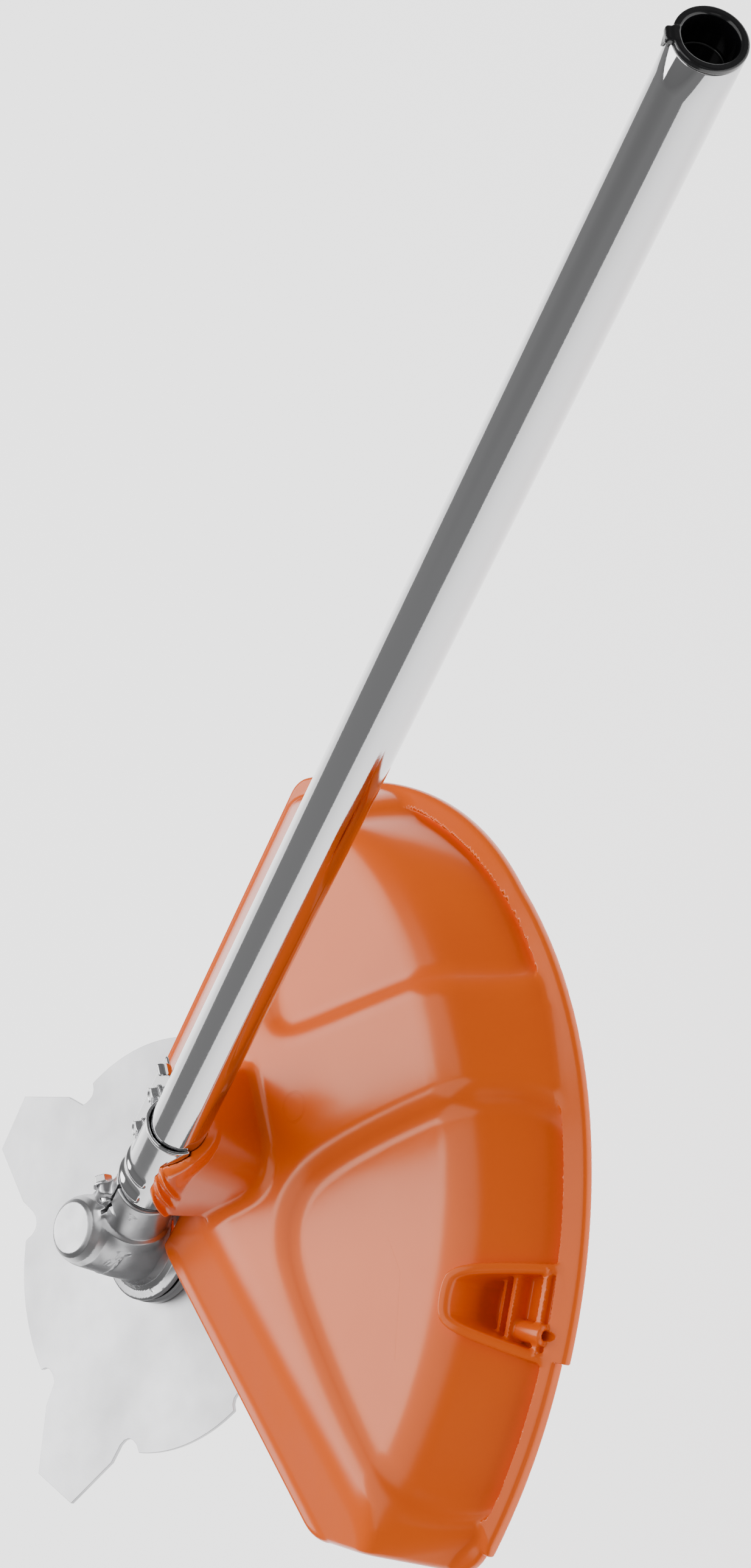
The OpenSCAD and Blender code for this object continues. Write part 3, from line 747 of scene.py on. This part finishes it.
def guard_material(colour, deep):
    """Semi-gloss moulding with an ejector mark and two fine scored lines."""
    recipe = Recipe("Orange moulding", colour, 0.0, 0.22, ior=1.5)
    recipe.shader.inputs["Specular Tint"].default_value = (1.0, 0.80, 0.62, 1)
    cloudy = recipe.noise(recipe.at, 16.0, 5.0)
    fine = recipe.noise(recipe.at, 1400.0, 4.0, 0.6)
    recipe.vary_roughness(cloudy, 0.04)
    recipe.vary_colour(cloudy, deep)
    recipe.bump(fine, 0.000006)
    recipe.bump(recipe.noise(recipe.at, 26.0, 2.0), 0.00022)
    split = recipe.node("ShaderNodeSeparateXYZ")
    recipe.link(recipe.at, split.inputs[0])
    x, y = split.outputs[0], split.outputs[1]
    radius = recipe.math("SQRT", recipe.math(
        "ADD", recipe.math("POWER", recipe.math("SUBTRACT", x, 0.1344), 2.0),
        recipe.math("POWER", recipe.math("SUBTRACT", y, 0.0006), 2.0)))
    mark = None
    for at, wide in ((0.0070, 0.00022), (0.0062, 0.0002)):
        off = recipe.math("ABSOLUTE", recipe.math("SUBTRACT", radius, at))
        line = recipe.math("LESS_THAN", off, wide)
        mark = line if mark is None else recipe.math("MAXIMUM", mark, line)
    for start, end in SCORED_LINES:
        dx, dy = end[0] - start[0], end[1] - start[1]
        length = math.hypot(dx, dy)
        dx, dy = dx / length, dy / length
        along = recipe.math("ADD", recipe.math("MULTIPLY", recipe.math(
            "SUBTRACT", x, start[0]), dx), recipe.math("MULTIPLY", recipe.math(
                "SUBTRACT", y, start[1]), dy))
        across = recipe.math("ABSOLUTE", recipe.math("SUBTRACT", recipe.math(
            "MULTIPLY", recipe.math("SUBTRACT", x, start[0]), dy), recipe.math(
                "MULTIPLY", recipe.math("SUBTRACT", y, start[1]), dx)))
        near = recipe.math("LESS_THAN", across, 0.0002)
        inside = recipe.math("MULTIPLY", recipe.math("GREATER_THAN", along, 0.0),
                             recipe.math("LESS_THAN", along, length))
        mark = recipe.math("MAXIMUM", mark, recipe.math("MULTIPLY", near, inside))
    recipe.bump(mark, -0.0008, 1.0)
    return recipe.material


SCORED_LINES = (((0.1700, -0.0930), (0.1560, -0.1280)), ((0.1672, -0.0760), (0.1700, -0.0935)))


def plastic_material(name, colour, roughness):
    recipe = Recipe(name, colour, 0.0, roughness)
    recipe.vary_roughness(recipe.noise(recipe.at, 120.0, 4.0), roughness * 0.35)
    recipe.vary_colour(recipe.noise(recipe.at, 80.0, 3.0), tuple(c * 0.8 for c in colour))
    recipe.bump(recipe.noise(recipe.at, 1500.0, 5.0), 0.000008)
    return recipe.material


def paper_material(colour):
    recipe = Recipe("Pale floor", colour, 0.0, 0.9)
    recipe.vary_colour(recipe.noise(recipe.at, 3.0, 3.0), tuple(c * 0.99 for c in colour))
    recipe.shader.inputs["Emission Color"].default_value = (1, 1, 1, 1)
    recipe.shader.inputs["Emission Strength"].default_value = 1.6
    return recipe.material


# ---- Settings ----

class BrushCutterColours(bpy.types.PropertyGroup):
    guard: bpy.props.FloatVectorProperty(
        name="Guard", description="Colour of the orange moulding", subtype="COLOR", size=3,
        min=0, max=1, default=(0.84, 0.118, 0.003))
    guard_deep: bpy.props.FloatVectorProperty(
        name="Guard, deeper", description="Second tone of the orange moulding",
        subtype="COLOR", size=3, min=0, max=1, default=(0.80, 0.106, 0.003))
    chrome: bpy.props.FloatVectorProperty(
        name="Chrome", description="Tint of the plated tube and strap", subtype="COLOR",
        size=3, min=0, max=1, default=(0.56, 0.56, 0.57))
    casting: bpy.props.FloatVectorProperty(
        name="Casting", description="Tint of the gear housing", subtype="COLOR", size=3,
        min=0, max=1, default=(0.48, 0.48, 0.49))
    blade: bpy.props.FloatVectorProperty(
        name="Blade", description="Tint of the ground blade", subtype="COLOR", size=3,
        min=0, max=1, default=(0.50, 0.50, 0.51))
    cap: bpy.props.FloatVectorProperty(
        name="Cap", description="Colour of the tube's end cap", subtype="COLOR", size=3,
        min=0, max=1, default=(0.006, 0.006, 0.007))


class BrushCutterSizes(bpy.types.PropertyGroup):
    pitch: bpy.props.FloatProperty(
        name="Mesh pitch", description="Distance between the mesh points of the moulding",
        default=1.15 * MM, min=0.6 * MM, max=3 * MM, unit="LENGTH", precision=5)
    detail_pitch: bpy.props.FloatProperty(
        name="Detail pitch", description="Distance between mesh points at the hub and pocket",
        default=0.7 * MM, min=0.4 * MM, max=2 * MM, unit="LENGTH", precision=5)
    blade_edge: bpy.props.FloatProperty(
        name="Blade edge", description="Rounding of the blade's edges", default=0.15 * MM,
        min=0.02 * MM, max=0.5 * MM, unit="LENGTH", precision=5)
    floor_drop: bpy.props.FloatProperty(
        name="Floor drop", description="Height of the part above the floor", default=0.45,
        min=0.0, max=2.0, unit="LENGTH")


MATERIALS = {}


def material(key):
    """Material of a finish, made once."""
    if key not in MATERIALS:
        c = bpy.context.scene.brush_cutter_colours
        made = {
            "tube": lambda: chrome_material("Plated tube", tuple(c.chrome), 0.055, True),
            "chrome": lambda: chrome_material("Plated sheet", tuple(c.chrome), 0.09, False),
            "casting": lambda: cast_material(tuple(c.casting)),
            "blade": lambda: blade_material(tuple(c.blade)),
            "guard": lambda: guard_material(tuple(c.guard), tuple(c.guard_deep)),
            "cap": lambda: plastic_material("Black moulding", tuple(c.cap), 0.13),
            "zinc": lambda: steel_material("Zinc plate", (0.78, 0.78, 0.79), 0.2),
            "dark": lambda: steel_material("Oiled steel", (0.36, 0.36, 0.37), 0.3),
            "ground": lambda: steel_material("Ground steel", (0.62, 0.62, 0.63), 0.24),
            "gear": lambda: steel_material("Hardened steel", (0.30, 0.29, 0.28), 0.32),
            "race": lambda: steel_material("Polished steel", (0.7, 0.7, 0.71), 0.12),
            "spring": lambda: steel_material("Spring steel", (0.2, 0.2, 0.21), 0.34),
            "nylon": lambda: plastic_material("Natural nylon", (0.78, 0.76, 0.70), 0.45),
            "seal": lambda: plastic_material("Black rubber", (0.012, 0.012, 0.012), 0.6),
        }
        MATERIALS[key] = made[key]()
    return MATERIALS[key]


# ---- Pieces ----

class BRUSHCUTTER_OT_tube(bpy.types.Operator):
    """Plated tube"""
    bl_idname = "brush_cutter.tube"
    bl_label = "Tube"

    def execute(self, context):
        inner = TUBE_R - TUBE_WALL
        outer = [(TUBE_R, h) for h in np.linspace(TUBE_START + 0.6, TUBE_END - 0.4, 56)]
        profile = ([(inner, TUBE_START), (TUBE_R - 0.5, TUBE_START)] + outer
                   + [(TUBE_R - 0.12, TUBE_END - 0.1), (TUBE_R - 0.4, TUBE_END),
                      (inner + 0.1, TUBE_END), (inner, TUBE_END - 0.2)])
        obj = add_turned("tube_skin", profile, on_tube, 160)
        finish_piece(obj, "frame", "tube_chrome", material("tube"), "shaft_tube")
        return {"FINISHED"}


class BRUSHCUTTER_OT_end_cap(bpy.types.Operator):
    """Push-in cap with a thumb nub and a pointed tongue"""
    bl_idname = "brush_cutter.end_cap"
    bl_label = "End cap"

    def execute(self, context):
        centre = on_tube(np.array([[0.0, 0.0, 898.0]]))[0]
        low, high = centre - 19, centre + 19
        obj = add_skin("end_cap_skin", end_cap_field, *box_lines(low, high, 0.45))
        finish_piece(obj, "cap", "cap_plastic", material("cap"), "end_cap")
        return {"FINISHED"}


class BRUSHCUTTER_OT_housing(bpy.types.Operator):
    """Die-cast gear housing with its neck, clamp lug and rib"""
    bl_idname = "brush_cutter.housing"
    bl_label = "Gear housing"

    def execute(self, context):
        plans = HousingPlans()
        obj = add_skin("housing_skin", lambda x, y, z: housing_field(x, y, z, plans),
                       *box_lines((-31, -30, 4), (62, 30, 70), 0.62))
        finish_piece(obj, "frame", "housing_cast", material("casting"), "gear_housing")
        return {"FINISHED"}


class BRUSHCUTTER_OT_guard(bpy.types.Operator):
    """Orange guard: sunken panels, pocket, lips and the saddle under the tube"""
    bl_idname = "brush_cutter.guard"
    bl_label = "Guard"

    def execute(self, context):
        sizes = context.scene.brush_cutter_sizes
        wide, fine = sizes.pitch / MM, sizes.detail_pitch / MM
        plans = GuardPlans()
        xs = gridlines((18, 40, wide), (40, 124, fine), (124, 190, wide), (190, 236, fine),
                       (236, 272, wide))
        ys = gridlines((-220, -153, wide), (-153, -98, fine), (-98, -34, wide),
                       (-34, 38, fine), (38, 156, wide))
        zs = gridlines((-1.5, 86, fine * 1.1))
        obj = add_skin("guard_skin", lambda x, y, z: guard_field(x, y, z, plans), xs, ys, zs)
        finish_piece(obj, "frame", "guard_plastic", material("guard"), "guard")
        return {"FINISHED"}


class BRUSHCUTTER_OT_clamp(bpy.types.Operator):
    """Strap with rolled beads and a hooked ear, and its two bolts, washers and nuts"""
    bl_idname = "brush_cutter.clamp"
    bl_label = "Clamp"

    def execute(self, context):
        strap = add_skin("strap_skin", strap_field,
                         *box_lines((40, -18, 50), (122, 32, 102), 0.5))
        finish_piece(strap, "frame", "strap_chrome", material("chrome"), "clamp_strap")
        bolts = add_skin("clamp_bolt_skin", clamp_bolts_field,
                         *box_lines((50, 13, 42), (108, 27, 86), 0.4))
        finish_piece(bolts, "frame", "fastener_zinc", material("zinc"), "clamp_bolts")
        nuts = add_skin("clamp_nut_skin", clamp_nuts_field,
                        *box_lines((58, 13, 42), (106, 27, 76), 0.4))
        finish_piece(nuts, "frame", "fastener_zinc", material("zinc"), "clamp_nuts")
        for i, place in enumerate(BOLT_PLACES):
            def lay(p, place=place):
                return on_tube(np.stack([-p[:, 2], p[:, 1] + BOLT_Y, p[:, 0] + place], 1))
            profile = [(2.6, 2.55), (4.8, 2.55), (5.0, 2.75), (5.0, 3.3), (4.8, 3.48), (2.6, 3.48)]
            washer = add_turned(f"clamp_washer_skin_{i + 1}", profile, lay, 64)
            finish_piece(washer, "frame", "fastener_zinc", material("zinc"), "clamp_washers")
        return {"FINISHED"}


class BRUSHCUTTER_OT_screws(bpy.types.Operator):
    """Neck clamping screw and grease plug of the gear housing"""
    bl_idname = "brush_cutter.screws"
    bl_label = "Housing screws"

    def execute(self, context):
        screw = add_skin("neck_screw_skin", neck_screw_field,
                         *box_lines((18, -9, 50), (36, 14, 66), 0.35))
        finish_piece(screw, "frame", "dark_screws", material("zinc"), "neck_screw")
        plug = add_skin("grease_plug_skin", grease_plug_field,
                        *box_lines((-6, 14, 25), (6, 22, 37), 0.35))
        finish_piece(plug, "frame", "dark_screws", material("dark"), "grease_plug")
        return {"FINISHED"}


class BRUSHCUTTER_OT_blade(bpy.types.Operator):
    """Steel blade with hooked teeth, ground flat"""
    bl_idname = "brush_cutter.blade"
    bl_label = "Blade"

    def execute(self, context):
        heel = [(81, -49), (79.4, -47), (78.9, -44.5), (79.7, -42), (81.2, -39.8), (83, -38)]
        tooth = [(94.5, -38), (124.1, -27.7), (127.5, 0), (100.7, 16.6)]
        gullet = [(91.3, 18.4), (88.4, 20.0), (86.6, 22.2), (86.0, 25), (86.9, 28.4), (89.6, 32)]
        quarter = heel + tooth + gullet + arc((0, 0), 95.2, 20.5, 58.6, 24)
        points = []
        for k in range(4):
            a = math.radians(135.6 + 90 * k)
            points += [(x * math.cos(a) - y * math.sin(a), x * math.sin(a) + y * math.cos(a))
                       for x, y in quarter]
        edge = context.scene.brush_cutter_sizes.blade_edge
        curve = bpy.data.curves.new("blade_skin", "CURVE")
        curve.dimensions, curve.fill_mode = "2D", "BOTH"
        curve.extrude, curve.bevel_depth = 0.9 * MM - edge, edge
        curve.bevel_resolution, curve.offset = 2, -edge
        for loop in (points, arc((0, 0), 12.7, 0, 360 - 3.75, 95)):
            spline = curve.splines.new("POLY")
            spline.points.add(len(loop) - 1)
            for point, (x, y) in zip(spline.points, loop):
                point.co = (x * MM, y * MM, 0, 1)
            spline.use_cyclic_u = True
        flat = bpy.data.objects.new("blade_flat", curve)
        bpy.context.scene.collection.objects.link(flat)
        bpy.context.view_layer.update()
        mesh = bpy.data.meshes.new_from_object(
            flat.evaluated_get(bpy.context.evaluated_depsgraph_get()))
        bpy.data.objects.remove(flat)
        mesh.transform(Matrix.Translation((0, 0, (BLADE_TOP - 0.9) * MM)))
        obj = bpy.data.objects.new("blade_skin", mesh)
        bpy.context.scene.collection.objects.link(obj)
        finish_piece(obj, "cutter", "blade_steel", material("blade"), "blade")
        return {"FINISHED"}


class BRUSHCUTTER_OT_blade_mount(bpy.types.Operator):
    """Plated drive disc above the blade, and the washer and nut below it"""
    bl_idname = "brush_cutter.blade_mount"
    bl_label = "Blade mount"

    def execute(self, context):
        disc = [(5.05, -1.6), (12.5, -1.6), (12.6, -1.5), (12.6, 0.02), (26.9, 0.02), (27.3, 0.3),
                (27.4, 0.8), (27.4, 4.2), (27.1, 4.9), (26.4, 5.2), (24, 5.2), (12, 5.2), (9.6, 5.3),
                (9.0, 5.9), (9.0, 8.9), (5.05, 8.9)]
        obj = add_turned("drive_disc_skin", bevelled(disc), upright, 192)
        finish_piece(obj, "cutter", "disc_chrome", material("chrome"), "drive_disc")
        low = -1.8 - 3.5
        washer = [(5.05, low), (10.8, low), (11.3, low + 0.1), (21.8, low + 2.0),
                  (22.4, low + 2.4), (22.5, low + 2.8), (22.5, low + 3.3), (22.3, low + 3.48),
                  (5.05, low + 3.48)]
        obj = add_turned("support_washer_skin", bevelled(washer), upright, 160)
        finish_piece(obj, "cutter", "disc_chrome", material("chrome"), "support_washer")
        nut = add_skin("blade_nut_skin", blade_nut_field,
                       *box_lines((-12, -12, -14.5), (12, 12, -4.8), 0.4))
        finish_piece(nut, "cutter", "fastener_zinc", material("zinc"), "blade_nut")
        return {"FINISHED"}


def bevelled(profile, cut=0.12):
    """Profile with each corner taken off by a small flat."""
    p = np.array(profile, float)
    before = np.roll(p, 1, axis=0) - p
    after = np.roll(p, -1, axis=0) - p
    out = []
    for point, a, b in zip(p, before, after):
        la, lb = np.linalg.norm(a), np.linalg.norm(b)
        c = min(cut, la / 3, lb / 3)
        out += [point + a / la * c, point + b / lb * c]
    return out


INSIDE_FINISH = {
    "drive_shaft": "ground", "shaft_bushes": "nylon", "input_pinion": "gear",
    "input_bearing_outer": "race", "input_bearing_inner": "race", "input_bearing_balls": "race",
    "input_circlip": "spring", "output_gear": "gear", "output_spindle": "ground",
    "gear_spacer": "race", "upper_bearing_outer": "race", "upper_bearing_inner": "race",
    "upper_bearing_balls": "race", "lower_bearing_outer": "race",
    "lower_bearing_inner": "race", "lower_bearing_balls": "race", "lower_circlip": "spring",
    "spindle_seal": "seal",
}


class BRUSHCUTTER_OT_inside(bpy.types.Operator):
    """Finishes of the drive line, gears, bearings and spindle"""
    bl_idname = "brush_cutter.inside"
    bl_label = "Inner pieces"

    def execute(self, context):
        for node, finish in INSIDE_FINISH.items():
            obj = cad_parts[node]
            obj.data.materials.clear()
            obj.data.materials.append(material(finish))
        return {"FINISHED"}


# ---- Stage ----

def aim(obj, place, target):
    obj.location = place
    obj.rotation_euler = (Vector(target) - Vector(place)).to_track_quat("-Z", "Y").to_euler()


def add_softbox(name, place, target, size, power):
    light = bpy.data.lights.new(name, "AREA")
    light.shape = "RECTANGLE"
    light.size, light.size_y = size
    light.energy = power
    obj = bpy.data.objects.new(name, light)
    bpy.context.scene.collection.objects.link(obj)
    aim(obj, place, target)
    return obj


class BRUSHCUTTER_OT_stage(bpy.types.Operator):
    """Pale floor, soft light and the camera"""
    bl_idname = "brush_cutter.stage"
    bl_label = "Stage"

    def execute(self, context):
        scene = context.scene
        drop = scene.brush_cutter_sizes.floor_drop
        mesh = bpy.data.meshes.new("floor")
        rim = [(7.0 * math.cos(a), 7.0 * math.sin(a), 0)
               for a in np.linspace(0, 2 * math.pi, 128, endpoint=False)]
        mesh.from_pydata(rim, [], [tuple(range(128))])
        floor = bpy.data.objects.new("floor", mesh)
        floor.location = (0, 0, -drop)
        scene.collection.objects.link(floor)
        mesh.materials.append(paper_material((0.93, 0.93, 0.93)))

        world = bpy.data.worlds.new("Studio")
        scene.world = world
        world.use_nodes = True
        tree = world.node_tree
        direction = tree.nodes.new("ShaderNodeTexCoord").outputs["Generated"]
        split = tree.nodes.new("ShaderNodeSeparateXYZ")
        tree.links.new(direction, split.inputs[0])
        ramp = tree.nodes.new("ShaderNodeValToRGB")
        stops = ramp.color_ramp.elements
        stops[0].position, stops[0].color = 0.0, (0.30, 0.30, 0.30, 1)
        stops[1].position, stops[1].color = 1.0, (0.30, 0.30, 0.30, 1)
        for at, grey in ((0.09, 0.30), (0.24, 0.22)):
            stop = stops.new(at)
            stop.color = (grey, grey, grey, 1)
        tree.links.new(split.outputs[2], ramp.inputs[0])
        tree.links.new(ramp.outputs[0], tree.nodes["Background"].inputs[0])

        middle = Vector((0.17, -0.03, 0.06))
        mirror = Vector((-0.586, 0.445, 0.678))
        stage = [
            add_softbox("Main softbox", middle + mirror * 2.6, middle, (1.9, 1.7), 56),
            add_softbox("Top light", (0.1, 0.1, 2.4), middle, (2.6, 2.6), 38),
            add_softbox("Fill light", (1.8, -2.2, 1.6), middle, (1.4, 1.4), 3),
        ]

        lens = bpy.data.cameras.new("camera")
        lens.lens, lens.sensor_width, lens.sensor_fit = 125.8, 36.0, "AUTO"
        lens.clip_end = 60
        camera = bpy.data.objects.new("camera", lens)
        scene.collection.objects.link(camera)
        right = (0.67353, -0.19852, -0.71200)
        up = (0.45111, 0.87346, 0.18320)
        back = (0.58554, -0.44458, 0.67786)
        camera.matrix_world = Matrix.Translation((1.6209, -0.9458, 1.6822)) @ Matrix(
            (right, up, back)).transposed().to_4x4()
        scene.camera = camera
        return {"FINISHED"}


class BRUSHCUTTER_PT_panel(bpy.types.Panel):
    """Sizes, colours and pieces of the brush cutter head"""
    bl_label = "Brush cutter"
    bl_idname = "BRUSHCUTTER_PT_panel"
    bl_space_type = "VIEW_3D"
    bl_region_type = "UI"
    bl_category = "Brush cutter"

    def draw(self, context):
        layout = self.layout
        for group in (context.scene.brush_cutter_sizes, context.scene.brush_cutter_colours):
            box = layout.box()
            for key in group.__annotations__:
                box.prop(group, key)
        for operator in OPERATORS:
            layout.operator(operator.bl_idname)


OPERATORS = (
    BRUSHCUTTER_OT_tube, BRUSHCUTTER_OT_end_cap, BRUSHCUTTER_OT_housing,
    BRUSHCUTTER_OT_screws, BRUSHCUTTER_OT_guard, BRUSHCUTTER_OT_clamp, BRUSHCUTTER_OT_blade,
    BRUSHCUTTER_OT_blade_mount, BRUSHCUTTER_OT_inside, BRUSHCUTTER_OT_stage,
)
CLASSES = (BrushCutterColours, BrushCutterSizes, *OPERATORS, BRUSHCUTTER_PT_panel)


def register():
    for cls in CLASSES:
        bpy.utils.register_class(cls)
    bpy.types.Scene.brush_cutter_colours = bpy.props.PointerProperty(type=BrushCutterColours)
    bpy.types.Scene.brush_cutter_sizes = bpy.props.PointerProperty(type=BrushCutterSizes)


def unregister():
    del bpy.types.Scene.brush_cutter_sizes
    del bpy.types.Scene.brush_cutter_colours
    for cls in reversed(CLASSES):
        bpy.utils.unregister_class(cls)


def main():
    register()
    for operator in OPERATORS:
        group, name = operator.bl_idname.split(".")
        getattr(getattr(bpy.ops, group), name)()


if __name__ == "__main__":
    main()
